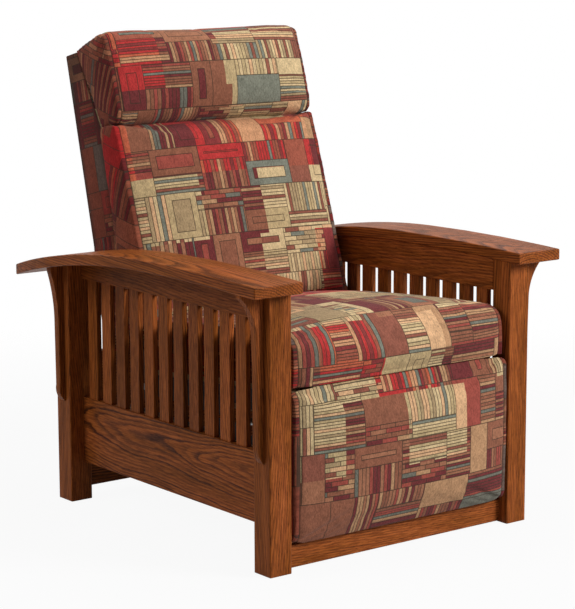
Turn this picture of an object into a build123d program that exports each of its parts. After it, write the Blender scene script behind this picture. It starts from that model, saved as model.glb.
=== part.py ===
from build123d import *
from math import atan2, cos, degrees, radians, sin, sqrt, tan
import os

# Mission reclining armchair, in millimetres.
# X runs across the chair and +X is on the right of someone who stands in front of it and looks at it.
# The chair faces -Y, Z is up, and the origin lies on the floor under the middle of the arms.
# A setback is the distance behind the front faces of the front legs. A height is above the floor.

# Timber frame
arm_span = 850.0
arm_length = 963.0
arm_width = 124.0
arm_thickness = 25.0
arm_front_overhang = 33.0
arm_rear_overhang = 104.0
arm_side_overhang = 62.0
arm_crown_setback = 270.0
arm_crown_height = 628.0
arm_front_radius = 6000.0
arm_bend_setback = 400.0
arm_rear_drop = 76.0
arm_taper = 20.0
arm_taper_length = 180.0
leg_size = 57.0
leg_ease = 2.0
side_rail_thickness = 20.0
side_rail_height = 155.0
side_rail_clearance = 92.0
arm_rail_height = 75.0
slat_count = 12
slat_width = 36.0
slat_thickness = 12.7
tenon_length = 12.0
tenon_thickness = 9.0
tenon_shoulder = 14.0
front_rail_setback = 25.0
front_rail_thickness = 20.0
front_rail_clearance = 3.0
front_rail_height = 50.0
rear_rail_thickness = 20.0
rear_rail_clearance = 26.0
rear_rail_height = 321.0

# Corbels under the arms
corbel_thickness = 19.0
corbel_lip = 8.0
corbel_foot = 14.0
corbel_length = 390.0
corbel_foot_length = 40.0
front_corbel_reach = 57.0
front_corbel_waist = 19.0
front_corbel_waist_drop = 122.0
rear_corbel_reach = 33.0
rear_corbel_waist = 15.0
rear_corbel_waist_drop = 203.0

# Steel mechanism: plates stand side by side, from the seat box outwards
mechanism_room = 15.0
plate_thickness = 3.0
plate_gap = 0.4
pin_radius = 5.0
pin_clearance = 0.05
head_radius = 8.0
head_thickness = 1.8
standoff_radius = 9.0
link_width = 24.0
swing_width = 27.0
swing_length = 70.0
swing_angle = 25.0
swing_pivot_drop = 152.0
front_swing_setback = 250.0
rear_swing_inset = 40.0
swing_rod_radius = 8.0
front_rod_radius = 7.0
front_rod_drop = 110.0
stop_size = 8.0
stop_reach = 45.0
stop_gap = 0.3
stop_margin = 12.0
footrest_angle = 97.0
front_pivot_setback = 66.0
front_pivot_drop = 30.0
pivot_spread = 70.0
front_link_length = 227.0
front_link_angle = 20.4
cross_link_reach = 110.0
cross_link_angle = 32.4
link_tail = 60.0
drive_arm_width = 20.0
slot_clearance = 1.3
slot_wall = 10.0
slot_end_wall = 6.0
seat_plate_width = 36.0
seat_plate_margin = 15.0
bracket_width = 26.0
bracket_flange = 34.0
back_bracket_width = 40.0
back_bracket_height = 120.0
runner_thickness = 20.0
runner_setback = 112.0
runner_rear_reach = 72.0
runner_height = 66.0
runner_drop = 56.0
base_plate_width = 52.0
base_plate_margin = 16.0

# Seat
seat_box_setback = 45.0
seat_box_length = 555.0
seat_box_height = 64.0
seat_box_wood = 20.0
seat_front_height = 384.0
seat_angle = 4.7
seat_cushion_overhang = 28.0
seat_cushion_front = 21.0
seat_cushion_rear_gap = 91.0
seat_cushion_thickness = 127.0
seat_cushion_roll = 55.0
seat_crown = 13.0
seat_front_bulge = 9.0
seat_web_count = 6
seat_web_width = 55.0
web_thickness = 2.0
soft_clearance = 0.4

# Footrest, closed
footrest_pad_overhang = 32.0
footrest_board_overhang = 20.0
footrest_bottom = 58.0
footrest_board_setback = 18.0
footrest_board_thickness = 16.0
footrest_board_margin = 6.0
footrest_pad_thickness = 29.0
footrest_pad_round = 24.0
footrest_bulge = 8.0

# Back, upright
back_angle = 13.6
back_heel_offset = 129.0
back_heel_rise = 18.0
back_height = 660.0
back_cushion_overhang = 17.0
pillow_overhang = 9.0
back_cover_thickness = 6.0
back_stile_thickness = 22.0
back_side_depth = 110.0
back_top_depth = 48.0
back_crease_height = 472.0
back_rail_height = 60.0
back_rail_thickness = 20.0
back_web_count = 4
back_web_width = 60.0
back_hinge_overhang = 10.0
back_hinge_drop = 12.0
cushion_foot_depth = 223.0
cushion_lumbar_depth = 224.0
cushion_crease_depth = 183.0
pillow_depth = 190.0
pillow_top_depth = 178.0
pillow_rise = 26.0
cushion_foot_round = 26.0
crease_round = 13.0
pillow_round = 24.0
back_crown = 11.0
pillow_crown = 13.0

# Cushion sides, which are drawn in at the ends of each loft
drawn_in = 7.0
edge_fullness = 2.0
section_count = 9
drawn_in_power = 8

# Derived places
leg_front = -arm_length / 2 + arm_front_overhang
arm_outer = arm_span / 2
arm_inner = arm_outer - arm_width
arm_rear_setback = arm_length - arm_front_overhang
arm_bend_turn = (arm_bend_setback - arm_crown_setback) / arm_front_radius
arm_rear_run = arm_rear_setback - arm_bend_setback
arm_rear_radius = arm_rear_run ** 2 / (2 * (arm_rear_drop - arm_bend_turn * arm_rear_run))
leg_outer = arm_outer - arm_side_overhang
leg_inner = leg_outer - leg_size
rear_leg_setback = arm_rear_setback - arm_rear_overhang - leg_size
arm_rail_underside = arm_crown_height - arm_thickness - arm_rail_height
base_plate_outer = leg_inner - runner_thickness
base_plate_inner = base_plate_outer - plate_thickness
seat_half = base_plate_inner - mechanism_room
layer_pitch = plate_thickness + plate_gap
seat_box_rear = seat_box_setback + seat_box_length
rear_swing_setback = seat_box_rear - rear_swing_inset
swing_pivot_height = seat_front_height - swing_pivot_drop
runner_low = swing_pivot_height - runner_drop
runner_rear = rear_swing_setback + runner_rear_reach
back_hinge_setback = seat_box_rear + back_hinge_overhang
back_hinge_height = seat_front_height - back_hinge_drop
seat_cushion_rear = back_hinge_setback - seat_cushion_rear_gap
footrest_top = seat_front_height + web_thickness
back_span = 2 * seat_half
back_heel_setback = back_hinge_setback + back_heel_offset
back_heel_height = back_hinge_height + back_heel_rise


def at(setback, height):
    """A point of a side view, as (Y, Z)."""
    return Vector(leg_front + setback, height)


def toward(angle, length):
    """A side-view step: the angle is measured from straight down, positive towards the rear."""
    return Vector(length * sin(radians(angle)), -length * cos(radians(angle)))


def side_plane(x):
    """The plane of a side view at x: its own x is Y, its own y is Z, and it faces +X."""
    return Plane(origin=(x, 0, 0), x_dir=(0, 1, 0), z_dir=(1, 0, 0))


def layer(number):
    """The inner face of the numbered plate, counted outwards from the seat box."""
    return seat_half + number * layer_pitch


def extruded_side(outline, x_from, x_to):
    """A side-view outline made solid between two places across the chair."""
    return extrude(side_plane(x_from) * outline, amount=x_to - x_from)


def block(x_from, x_to, setback_from, setback_to, z_from, z_to):
    """A squared piece of timber between its faces."""
    size = (x_to - x_from, setback_to - setback_from, z_to - z_from)
    corner = (x_from, leg_front + setback_from, z_from)
    return Pos(*corner) * Box(*size, align=(Align.MIN, Align.MIN, Align.MIN))


def mirrored(shape):
    return mirror(shape, about=Plane.YZ)


def write(name, *solids):
    """Writes one sub-part; several solids are separate pieces of one group."""
    found = [one for shape in solids for one in shape.solids()]
    shape = found[0] if len(found) == 1 else Compound(found)
    export_step(shape, f"parts/{name}.step")


def write_pair(name, right):
    """Writes the left and the right copy of a sub-part that stands on both sides."""
    write(f"{name}_right", right)
    write(f"{name}_left", mirrored(right))


def write_sides(name, right_pieces):
    """Writes a group of separate pieces of the right side, with their copies on the left, as one sub-part."""
    write(name, *right_pieces, *[mirrored(piece) for piece in right_pieces])


def arm_top(setback):
    """The height of the arm's upper face: a nearly flat front arc that runs on into a rounder rear one."""
    front = arm_crown_height - arm_front_radius
    front += sqrt(arm_front_radius ** 2 - (setback - arm_crown_setback) ** 2)
    if setback <= arm_bend_setback:
        return front
    center_setback = arm_bend_setback - arm_rear_radius * arm_bend_turn
    rise = sqrt(arm_rear_radius ** 2 - (arm_bend_setback - center_setback) ** 2)
    return arm_top(arm_bend_setback) - rise + sqrt(arm_rear_radius ** 2 - (setback - center_setback) ** 2)


def arm_curve(drop, setback_from, setback_to):
    """One arc of the arm, drop below its upper face."""
    middle = (setback_from + setback_to) / 2
    return ThreePointArc(*(at(s, arm_top(s) - drop) for s in (setback_from, middle, setback_to)))


def under_arm():
    """The space below the arms, which trims what ends against their undersides."""
    front = arm_curve(arm_thickness, -arm_front_overhang, arm_bend_setback)
    rear = arm_curve(arm_thickness, arm_bend_setback, arm_rear_setback)
    floor_line = Polyline(at(arm_rear_setback, arm_top(arm_rear_setback) - arm_thickness),
                          at(arm_rear_setback, 0), at(-arm_front_overhang, 0),
                          at(-arm_front_overhang, arm_top(-arm_front_overhang) - arm_thickness))
    return extruded_side(make_face([front, rear, floor_line]), -arm_outer, arm_outer)


def arm():
    """One bowed arm: its side view, trimmed by a plan whose outer edge draws in towards the rear."""
    front_end = -arm_front_overhang
    top = [arm_curve(0, front_end, arm_bend_setback), arm_curve(0, arm_bend_setback, arm_rear_setback)]
    below = [arm_curve(arm_thickness, front_end, arm_bend_setback),
             arm_curve(arm_thickness, arm_bend_setback, arm_rear_setback)]
    ends = [Line(at(s, arm_top(s)), at(s, arm_top(s) - arm_thickness)) for s in (front_end, arm_rear_setback)]
    bowed = extruded_side(make_face(top + below + ends), arm_inner, arm_outer)
    taper_start = leg_front + arm_rear_setback - arm_taper_length
    rear_end = leg_front + arm_rear_setback
    plan_front = leg_front + front_end
    taper_middle = (arm_outer - arm_taper / 3, (taper_start + rear_end) / 2)
    plan = make_face([
        Line((arm_inner, rear_end), (arm_inner, plan_front)),
        Line((arm_inner, plan_front), (arm_outer, plan_front)),
        Line((arm_outer, plan_front), (arm_outer, taper_start)),
        ThreePointArc((arm_outer, taper_start), taper_middle, (arm_outer - arm_taper, rear_end)),
        Line((arm_outer - arm_taper, rear_end), (arm_inner, rear_end)),
    ])
    return bowed & extrude(plan, amount=arm_crown_height + arm_thickness)


def rail_tenon(x_middle, setback_from, setback_to, z_from, z_to):
    """The tongue by which a rail enters a leg."""
    half = tenon_thickness / 2
    return block(x_middle - half, x_middle + half, setback_from, setback_to,
                 z_from + tenon_shoulder, z_to - tenon_shoulder)


def slat_setbacks():
    """Front edges of the slats, with equal gaps between the legs."""
    gap = (rear_leg_setback - leg_size - slat_count * slat_width) / (slat_count + 1)
    return [leg_size + gap + n * (slat_width + gap) for n in range(slat_count)]


side_rail_middle = leg_inner + side_rail_thickness / 2
side_rail_top = side_rail_clearance + side_rail_height


def slat(setback):
    """One upright slat, let into the rails above and below it by the length of a tenon."""
    half = slat_thickness / 2
    return block(side_rail_middle - half, side_rail_middle + half, setback, setback + slat_width,
                 side_rail_top - tenon_length, arm_rail_underside + tenon_length)


def slats():
    """The upright slats of one side."""
    return [slat(setback) for setback in slat_setbacks()]


def side_tenons(z_from, z_to):
    """The tenons of a rail that runs along the side, at its front and its rear."""
    reaches = [(leg_size - tenon_length, leg_size), (rear_leg_setback, rear_leg_setback + tenon_length)]
    return [rail_tenon(side_rail_middle, *reach, z_from, z_to) for reach in reaches]


arm_rail_tenon_top = arm_rail_underside + 2 * tenon_shoulder + tenon_length


def side_rail():
    """The broad lower rail of one side, with mortises for the slats."""
    body = block(leg_inner, leg_inner + side_rail_thickness, leg_size, rear_leg_setback,
                 side_rail_clearance, side_rail_top)
    body += side_tenons(side_rail_clearance, side_rail_top)
    return body - slats()


def arm_rail():
    """The rail under one arm: straight below and bowed above, where the arm lies on it."""
    body = block(leg_inner, leg_inner + side_rail_thickness, leg_size, rear_leg_setback,
                 arm_rail_underside, arm_rail_underside + arm_rail_height)
    body = (body & under_arm()) + side_tenons(arm_rail_underside, arm_rail_tenon_top)
    return body - slats()


def cross_rail(setback, thickness, z_from, z_to):
    """A rail between two legs, with its two tenons."""
    body = block(-leg_inner, leg_inner, setback, setback + thickness, z_from, z_to)
    return body + cross_tenons(setback, thickness, z_from, z_to)


def cross_tenons(setback, thickness, z_from, z_to):
    inset = (thickness - tenon_thickness) / 2
    shoulder = tenon_shoulder / 2
    return [block(x, x + tenon_length, setback + inset, setback + thickness - inset,
                  z_from + shoulder, z_to - shoulder) for x in (leg_inner, -leg_inner - tenon_length)]


rear_rail_setback = rear_leg_setback + (leg_size - rear_rail_thickness) / 2
front_rail_ends = (front_rail_clearance, front_rail_clearance + front_rail_height)
rear_rail_ends = (rear_rail_clearance, rear_rail_clearance + rear_rail_height)


def leg(setback):
    """One square leg with eased long edges, mortised for its rails and cut to the arm's underside."""
    post = block(leg_inner, leg_outer, setback, setback + leg_size, 0, arm_crown_height)
    post = chamfer(post.edges().filter_by(Axis.Z), leg_ease) & under_arm()
    post -= side_tenons(side_rail_clearance, side_rail_top)
    post -= side_tenons(arm_rail_underside, arm_rail_tenon_top)
    post -= cross_tenons(front_rail_setback, front_rail_thickness, *front_rail_ends)
    return post - cross_tenons(rear_rail_setback, rear_rail_thickness, *rear_rail_ends)


def corbel(setback, reach, waist, waist_drop):
    """The curved bracket on the outside of a leg: a lip, a hollow, a long taper and a rounded foot."""
    middle = setback + leg_size / 2
    waist_height = arm_crown_height - waist_drop
    tip_height = arm_crown_height - corbel_length
    foot_height = tip_height + corbel_foot_length
    lip_height = arm_top(middle) - arm_thickness - corbel_lip
    hollow_height = lip_height - waist_height
    radius = (hollow_height ** 2 + (reach - waist) ** 2) / (2 * (reach - waist))
    half_turn = atan2(hollow_height, radius - (reach - waist)) / 2
    hollow_middle = (leg_outer + waist + radius * (1 - cos(half_turn)),
                     waist_height + radius * sin(half_turn))
    foot = (leg_outer + corbel_foot, foot_height)
    tip = (leg_outer, tip_height)
    foot_middle = (leg_outer + corbel_foot * cos(radians(45)),
                   foot_height - corbel_foot_length * sin(radians(45)))
    top = arm_crown_height
    outline = make_face([
        Line(tip, (leg_outer, top)),
        Line((leg_outer, top), (leg_outer + reach, top)),
        Line((leg_outer + reach, top), (leg_outer + reach, lip_height)),
        ThreePointArc((leg_outer + reach, lip_height), hollow_middle, (leg_outer + waist, waist_height)),
        Line((leg_outer + waist, waist_height), foot),
        ThreePointArc(foot, foot_middle, tip),
    ])
    front_face = leg_front + middle - corbel_thickness / 2
    plane = Plane(origin=(0, front_face, 0), x_dir=(1, 0, 0), z_dir=(0, -1, 0))
    return extrude(plane * outline, amount=-corbel_thickness) & under_arm()


# Pivots of the mechanism with the chair closed, as side-view points
swing_step = toward(180 - swing_angle, swing_length)
front_swing_base = at(front_swing_setback, swing_pivot_height)
rear_swing_base = at(rear_swing_setback, swing_pivot_height)
front_swing_top = front_swing_base + swing_step
rear_swing_top = rear_swing_base + swing_step
link_direction = toward(front_link_angle, 1)
cross_direction = toward(-90 - cross_link_angle, 1)
front_pivot = at(front_pivot_setback, seat_front_height - front_pivot_drop)
rear_pivot = front_pivot - cross_direction * pivot_spread
cross_pivot = front_pivot + link_direction * front_link_length
rear_link_end = rear_pivot + link_direction * front_link_length
tail_pivot = cross_pivot + link_direction * link_tail
upper_bracket_pivot = cross_pivot + cross_direction * cross_link_reach
lower_bracket_pivot = tail_pivot + cross_direction * cross_link_reach
drive_length = swing_length * sin(radians(swing_angle)) / sin(radians(footrest_angle / 2))
drive_pivot = rear_pivot + toward(-180 + footrest_angle / 2, drive_length)
front_rod_place = front_pivot + link_direction * front_rod_drop
swing_rod_place = (front_swing_base + front_swing_top) * 0.5
back_hinge = at(back_hinge_setback, back_hinge_height)


def slot_shape(start, end, width):
    """A round-ended bar of a side view."""
    step = end - start
    middle = (start + end) * 0.5
    turned = Rot(0, 0, degrees(atan2(step.Y, step.X)))
    return Pos(middle.X, middle.Y) * turned * SlotCenterToCenter(step.length, width)


def hole(place, radius=pin_radius):
    return Pos(place.X, place.Y) * Circle(radius + pin_clearance)


def hexagon(place, x_from, x_to, radius):
    """A hexagonal head, collar or standoff round a pivot."""
    return extruded_side(Pos(place.X, place.Y) * RegularPolygon(radius, 6), x_from, x_to)


def plate(number, outline):
    """A steel plate in the numbered layer."""
    return extruded_side(outline, layer(number), layer(number) + plate_thickness)


def link(number, start, end, width, holes):
    """A flat steel link in the numbered layer, with a hole at each pivot where it turns on another's stud."""
    outline = slot_shape(start, end, width)
    for place in holes:
        outline -= hole(place)
    return plate(number, outline)


def shank(place, x_from, x_to):
    return extruded_side(Pos(place.X, place.Y) * Circle(pin_radius), x_from, x_to)


def outward_stud(place, number):
    """A stud on the numbered plate, through the next plate outwards, with its head beyond that one."""
    head_face = layer(number + 1) + plate_thickness + plate_gap / 2
    return (shank(place, layer(number) + plate_thickness, head_face)
            + hexagon(place, head_face, head_face + head_thickness, head_radius))


def inward_stud(place, number):
    """The same towards the seat box, through the next plate inwards."""
    head_face = layer(number - 1) - plate_gap / 2
    return (shank(place, head_face, layer(number))
            + hexagon(place, head_face - head_thickness, head_face, head_radius))


def base_stud(place):
    """A stud welded on the base plate: a standoff up to the swing link, then the shank and its head."""
    standoff_face = layer(1) + plate_thickness + plate_gap
    head_face = layer(1) - plate_gap / 2
    return (hexagon(place, standoff_face, base_plate_inner, standoff_radius)
            + shank(place, head_face, base_plate_inner)
            + hexagon(place, head_face - head_thickness, head_face, head_radius))


def stop_place(lean):
    """Where the stop stands that the front swing link meets when it leans rearward by lean."""
    side = 1 if lean > 0 else -1
    along = toward(180 - lean, stop_reach)
    return front_swing_base + along + toward(90 - lean, side * (swing_width + stop_size + 2 * stop_gap) / 2)


def stop(lean):
    """A square lug of the base plate, with one face along the edge of the swing link that it stops."""
    place = stop_place(lean)
    square = Pos(place.X, place.Y) * Rot(0, 0, -lean) * Rectangle(stop_size, stop_size)
    return extruded_side(square, layer(1), base_plate_inner)


slot_rise = drive_length * (1 - cos(radians(footrest_angle / 2)))
slot_rise += swing_length * (1 - cos(radians(swing_angle)))
slot_width = 2 * (pin_radius + slot_clearance)
ear_width = slot_width + 2 * slot_wall


def base_studs():
    """The two swing studs and the two stops of one base plate."""
    return [base_stud(front_swing_base), base_stud(rear_swing_base), stop(swing_angle), stop(-swing_angle)]


def base_plate():
    """The plate on the runner, with an ear whose slot guides the drive stud."""
    high = swing_pivot_height + base_plate_margin
    low = high - base_plate_width
    front_stop = stop_place(-swing_angle)
    rear_stop = stop_place(swing_angle)
    slot_top = drive_pivot + Vector(0, slot_rise)
    half_ear = ear_width / 2
    ear_top = slot_width / 2 + slot_end_wall
    stop_high = front_stop + Vector(-stop_margin, stop_margin)
    outline = make_face(Polyline(
        at(runner_setback, low), at(runner_rear, low), at(runner_rear, high),
        Vector(rear_stop.X + 2 * stop_margin, high),
        rear_stop + Vector(stop_margin, stop_margin), stop_high,
        Vector(front_stop.X - 2 * stop_margin, high),
        at(runner_setback + 2 * ear_width, high),
        drive_pivot + Vector(half_ear, -half_ear), slot_top + Vector(half_ear, ear_top / 2),
        slot_top + Vector(half_ear / 2, ear_top), slot_top + Vector(-half_ear / 2, ear_top),
        slot_top + Vector(-half_ear, ear_top / 2), drive_pivot + Vector(-half_ear, -half_ear),
        at(runner_setback, high), close=True))
    outline -= slot_shape(drive_pivot, slot_top, slot_width)
    return extruded_side(outline, base_plate_inner, base_plate_outer)


def swing_link(base, top):
    return link(1, base, top, swing_width, (base, top))


def rod(place, radius):
    """A steel rod across the chair, between the inner faces of the links that it joins."""
    return extruded_side(Pos(place.X, place.Y) * Circle(radius), -layer(1), layer(1))


seat_drop = tan(radians(seat_angle))
seat_plate_height = seat_front_height - seat_box_height / 2


def seat_line(setback, height):
    """A side-view point of the seat, whose heights fall towards the rear with its slope."""
    return at(setback, height - (setback - seat_box_setback) * seat_drop)


def cut_corner(place, across, up):
    """Two outline points that go round a pivot's corner, on the side that the signs give."""
    out = Vector(across * seat_plate_margin, up * seat_plate_margin / 2)
    off = Vector(across * seat_plate_margin / 2, up * seat_plate_margin)
    return [place + out, place + off]


def seat_studs():
    """The studs welded on one seat plate: for the links and swings outside it, and the back inside."""
    places = (front_pivot, rear_pivot, front_swing_top, rear_swing_top)
    return [outward_stud(place, 0) for place in places] + [hinge_stud()]


def seat_plate():
    """The long plate on the side of the seat box, which carries both links, both swings and the back."""
    high = seat_plate_height + seat_plate_width / 2
    low = high - seat_plate_width
    front = front_pivot_setback - seat_plate_margin
    swing_front = front_swing_top.X - leg_front - 2 * seat_plate_margin
    outline = make_face(Polyline(
        seat_line(front, high), seat_line(back_hinge_setback - 4 * seat_plate_margin, high),
        *cut_corner(back_hinge, -1, 1), *reversed(cut_corner(back_hinge, 1, 1)),
        *cut_corner(rear_swing_top, 1, -1), *reversed(cut_corner(front_swing_top, -1, -1)),
        seat_line(swing_front, low),
        *cut_corner(rear_pivot, 1, -1), *reversed(cut_corner(rear_pivot, -1, -1)),
        seat_line(front, low), close=True))
    return plate(0, outline)


stile_outer = back_span / 2 - back_cover_thickness - plate_thickness - plate_gap


def hinge_stud():
    """The stud on which the back turns: a standoff, then a shank through the back's strap."""
    strap_face = stile_outer + plate_thickness + plate_gap / 2
    return (hexagon(back_hinge, strap_face, layer(0), standoff_radius)
            + shank(back_hinge, stile_outer, layer(0)))


def rear_link():
    """The rear footrest link: a long arm down, and a short one up to the stud that runs in the slot."""
    outline = slot_shape(rear_pivot, rear_link_end, link_width)
    outline += slot_shape(rear_pivot, drive_pivot, drive_arm_width)
    outline -= hole(rear_pivot)
    outline -= hole(rear_link_end)
    washer = base_plate_outer + plate_gap
    return (plate(1, outline) + shank(drive_pivot, layer(1) + plate_thickness, washer)
            + hexagon(drive_pivot, layer(1) + plate_thickness, base_plate_inner - plate_gap, head_radius)
            + hexagon(drive_pivot, washer, washer + head_thickness, head_radius))


def front_link():
    """The front footrest link, with studs for the cross link and, on its tail, for the end link."""
    made = link(1, front_pivot, tail_pivot, link_width, [front_pivot])
    return made + outward_stud(cross_pivot, 1) + outward_stud(tail_pivot, 1)


def cross_link():
    """The link from the rear link over the front one to the footrest's bracket."""
    made = link(2, rear_link_end, upper_bracket_pivot, link_width, [cross_pivot])
    return made + inward_stud(rear_link_end, 2) + outward_stud(upper_bracket_pivot, 2)


def end_link():
    """The lower link from the front link's tail to the footrest's bracket."""
    made = link(2, tail_pivot, lower_bracket_pivot, link_width, [tail_pivot])
    return made + outward_stud(lower_bracket_pivot, 2)


board_rear = footrest_board_setback + footrest_board_thickness


def footrest_bracket():
    """The angle that joins two links to the footrest board: an outer plate and a flange turned inwards."""
    board_face = leg_front + board_rear
    x_from = layer(3)
    outline = slot_shape(upper_bracket_pivot, lower_bracket_pivot, bracket_width)
    for place in (upper_bracket_pivot, lower_bracket_pivot):
        root = Vector(board_face + bracket_width / 2, place.Y)
        outline += slot_shape(root, place, bracket_width)
    low = lower_bracket_pivot.Y - bracket_width
    high = upper_bracket_pivot.Y + bracket_width
    size = (bracket_width / 2, high - low)
    web = Pos(board_face, low) * Rectangle(*size, align=(Align.MIN, Align.MIN))
    outline += web
    for place in (upper_bracket_pivot, lower_bracket_pivot):
        outline -= hole(place)
    x_to = x_from + plate_thickness
    flange_size = (x_to - seat_half + bracket_flange, plate_thickness, high - low)
    flange = Box(*flange_size, align=(Align.MAX, Align.MIN, Align.MIN))
    return plate(3, outline) + Pos(x_to, board_face, low) * flange


def back_point(depth, height):
    """A side-view point of the back, from its depth in front of its rear face and its height along it."""
    tilt = radians(back_angle)
    return at(back_heel_setback + height * sin(tilt) - depth * cos(tilt),
              back_heel_height + height * cos(tilt) + depth * sin(tilt))


def back_profile(points, x_from, x_to):
    """A straight-edged outline of the back, given as depths and heights, made solid across the chair."""
    return extruded_side(make_face(Polyline(*[back_point(*p) for p in points], close=True)), x_from, x_to)


seam_height = back_crease_height - crease_round


def back_side_outline(inset):
    """The side of the back: deep up to the crease, then shallower towards the top, behind the pillow."""
    return [(inset, inset), (back_side_depth - inset, inset), (back_side_depth - inset, seam_height),
            (back_top_depth - inset, back_height - inset), (inset, back_height - inset)]


def stile():
    """One upright board of the back frame."""
    inset = back_cover_thickness + plate_gap
    outline = back_side_outline(inset)
    return back_profile(outline, stile_outer - back_stile_thickness, stile_outer)


def back_rail(low):
    """A rail of the back between the stiles, against the rear of the cover."""
    inset = back_cover_thickness + plate_gap
    half = stile_outer - back_stile_thickness
    outline = [(inset, low), (inset + back_rail_thickness, low),
               (inset + back_rail_thickness, low + back_rail_height), (inset, low + back_rail_height)]
    return back_profile(outline, -half, half)


def back_cover():
    """The padded outside of the back: a rear panel, two sides and a top, open towards the cushions."""
    inner = back_cover_thickness
    outer_outline = back_side_outline(0)
    half = back_span / 2
    whole = back_profile(outer_outline, -half, half)
    hollow = [(inner, -inner), (2 * back_side_depth, -inner), (2 * back_side_depth, back_height - inner),
              (inner, back_height - inner)]
    return whole - back_profile(hollow, -half + inner, half - inner)


def back_bracket():
    """The steel strap of a stile: a foot round the back hinge and a blade up the stile."""
    half = back_bracket_width / 2
    depth = back_side_depth / 2
    outline = make_face(Polyline(
        back_point(depth - half, back_bracket_height), back_point(depth - half, back_bracket_width),
        *cut_corner(back_hinge, 1, -1), *reversed(cut_corner(back_hinge, -1, -1)),
        *cut_corner(back_hinge, -1, 1), back_point(depth + half, back_bracket_width),
        back_point(depth + half, back_bracket_height), close=True))
    return extruded_side(outline - hole(back_hinge), stile_outer, stile_outer + plate_thickness)


def cushion(span, section):
    """A cushion lofted across the chair, through sections set closer towards its drawn-in ends."""
    faces = []
    for n in range(section_count):
        share = sin(radians(180 * n / (section_count - 1) - 90))
        fullness = 1 - share ** 2
        inset = drawn_in * (1 - sqrt(1 - share ** drawn_in_power))
        faces.append(side_plane(share * span / 2) * make_face(section(fullness, inset)))
    return loft(faces, ruled=True)


def bulged(start, end, bulge):
    """An arc between two side-view points that swells to the left of its direction by bulge."""
    step = end - start
    normal = Vector(-step.Y, step.X).normalized()
    return ThreePointArc(start, (start + end) * 0.5 + normal * bulge, end)


def corner_arc(start, corner, end):
    """An arc that rounds a corner between two points at about equal distances from it."""
    chord_middle = (start + end) * 0.5
    return ThreePointArc(start, chord_middle + (corner - chord_middle) * (sqrt(2) - 1), end)


def seat_section(fullness, inset):
    """Side view of the seat cushion: flat below, crowned above and rolled over at the front."""
    low = seat_front_height + web_thickness + soft_clearance
    high = low + seat_cushion_thickness - inset
    front = seat_cushion_front + inset - fullness * seat_front_bulge
    heel = seat_line(seat_cushion_rear, low)
    rear_edge = seat_line(seat_cushion_rear, high)
    roll_start = seat_line(front + seat_cushion_roll, high)
    roll_end = seat_line(front, high - seat_cushion_roll)
    toe = seat_line(seat_cushion_front + inset, low)
    return [Line(toe, heel), Line(heel, rear_edge),
            bulged(rear_edge, roll_start, -fullness * seat_crown - edge_fullness),
            corner_arc(roll_start, seat_line(front, high), roll_end),
            bulged(roll_end, toe, -edge_fullness)]


def pad_section(fullness, inset):
    """Side view of the footrest pad: flat behind, rounded above and below, swelling in front."""
    rear = footrest_board_setback - soft_clearance
    front = rear - footrest_pad_thickness + inset
    low = footrest_bottom + inset
    high = footrest_top - inset
    low_end = at(front, low + footrest_pad_round)
    high_end = at(front, high - footrest_pad_round)
    return [Line(at(rear, high), at(rear, low)),
            corner_arc(at(rear, low), at(front, low), low_end),
            bulged(low_end, high_end, fullness * footrest_bulge + edge_fullness),
            corner_arc(high_end, at(front, high), at(rear, high))]


def back_cushion_section(fullness, inset):
    """Side view of the lower back cushion: full at the small of the back, thinner towards the crease."""
    rear = back_side_depth + soft_clearance
    high = back_crease_height - soft_clearance
    foot = cushion_foot_depth - inset
    top = cushion_crease_depth - inset
    foot_end = back_point(foot, cushion_foot_round)
    crease_start = back_point(top + edge_fullness, high - crease_round)
    crease_end = back_point(top - crease_round, high)
    return [Line(back_point(rear, 0), back_point(foot - cushion_foot_round, 0)),
            corner_arc(back_point(foot - cushion_foot_round, 0), back_point(foot, 0), foot_end),
            bulged(foot_end, crease_start, fullness * back_crown + edge_fullness),
            corner_arc(crease_start, back_point(top, high), crease_end),
            Line(crease_end, back_point(rear, high)), Line(back_point(rear, high), back_point(rear, 0))]


def head_pillow_section(fullness, inset):
    """Side view of the head pillow: it swells out over the crease and rolls back over the frame."""
    low = back_crease_height + soft_clearance
    high = back_height + pillow_rise - inset
    front = pillow_depth - inset
    top = pillow_top_depth - inset
    seam_low = back_point(back_side_depth + soft_clearance, low)
    seam_high = back_point(back_top_depth + soft_clearance, back_height)
    lip = back_point(cushion_crease_depth - inset - crease_round, low)
    front_low = back_point(front, low + crease_round + pillow_round)
    front_high = back_point(top, high - pillow_round)
    top_front = back_point(top - pillow_round, high)
    return [Line(seam_low, lip), bulged(lip, front_low, crease_round / 2),
            bulged(front_low, front_high, fullness * pillow_crown + edge_fullness),
            corner_arc(front_high, back_point(top, high), top_front),
            bulged(top_front, seam_high, edge_fullness), Line(seam_high, seam_low)]


def seat_board(setback_from, setback_to, x_from, x_to):
    """One board of the seat's box, which slopes with the seat."""
    low = seat_front_height - seat_box_height
    outline = make_face(Polyline(
        seat_line(setback_from, low), seat_line(setback_to, low), seat_line(setback_to, seat_front_height),
        seat_line(setback_from, seat_front_height), close=True))
    return extruded_side(outline, x_from, x_to)


def seat_webbing():
    """Straps over the seat box, from its front rail to its rear rail."""
    pitch = 2 * (seat_half - seat_box_wood) / seat_web_count
    top = seat_front_height + web_thickness
    outline = make_face(Polyline(seat_line(seat_box_setback, seat_front_height),
                                 seat_line(seat_box_rear, seat_front_height), seat_line(seat_box_rear, top),
                                 seat_line(seat_box_setback, top), close=True))
    first = -(seat_web_count - 1) / 2 * pitch - seat_web_width / 2
    return [extruded_side(outline, first + n * pitch, first + n * pitch + seat_web_width)
            for n in range(seat_web_count)]


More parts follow.
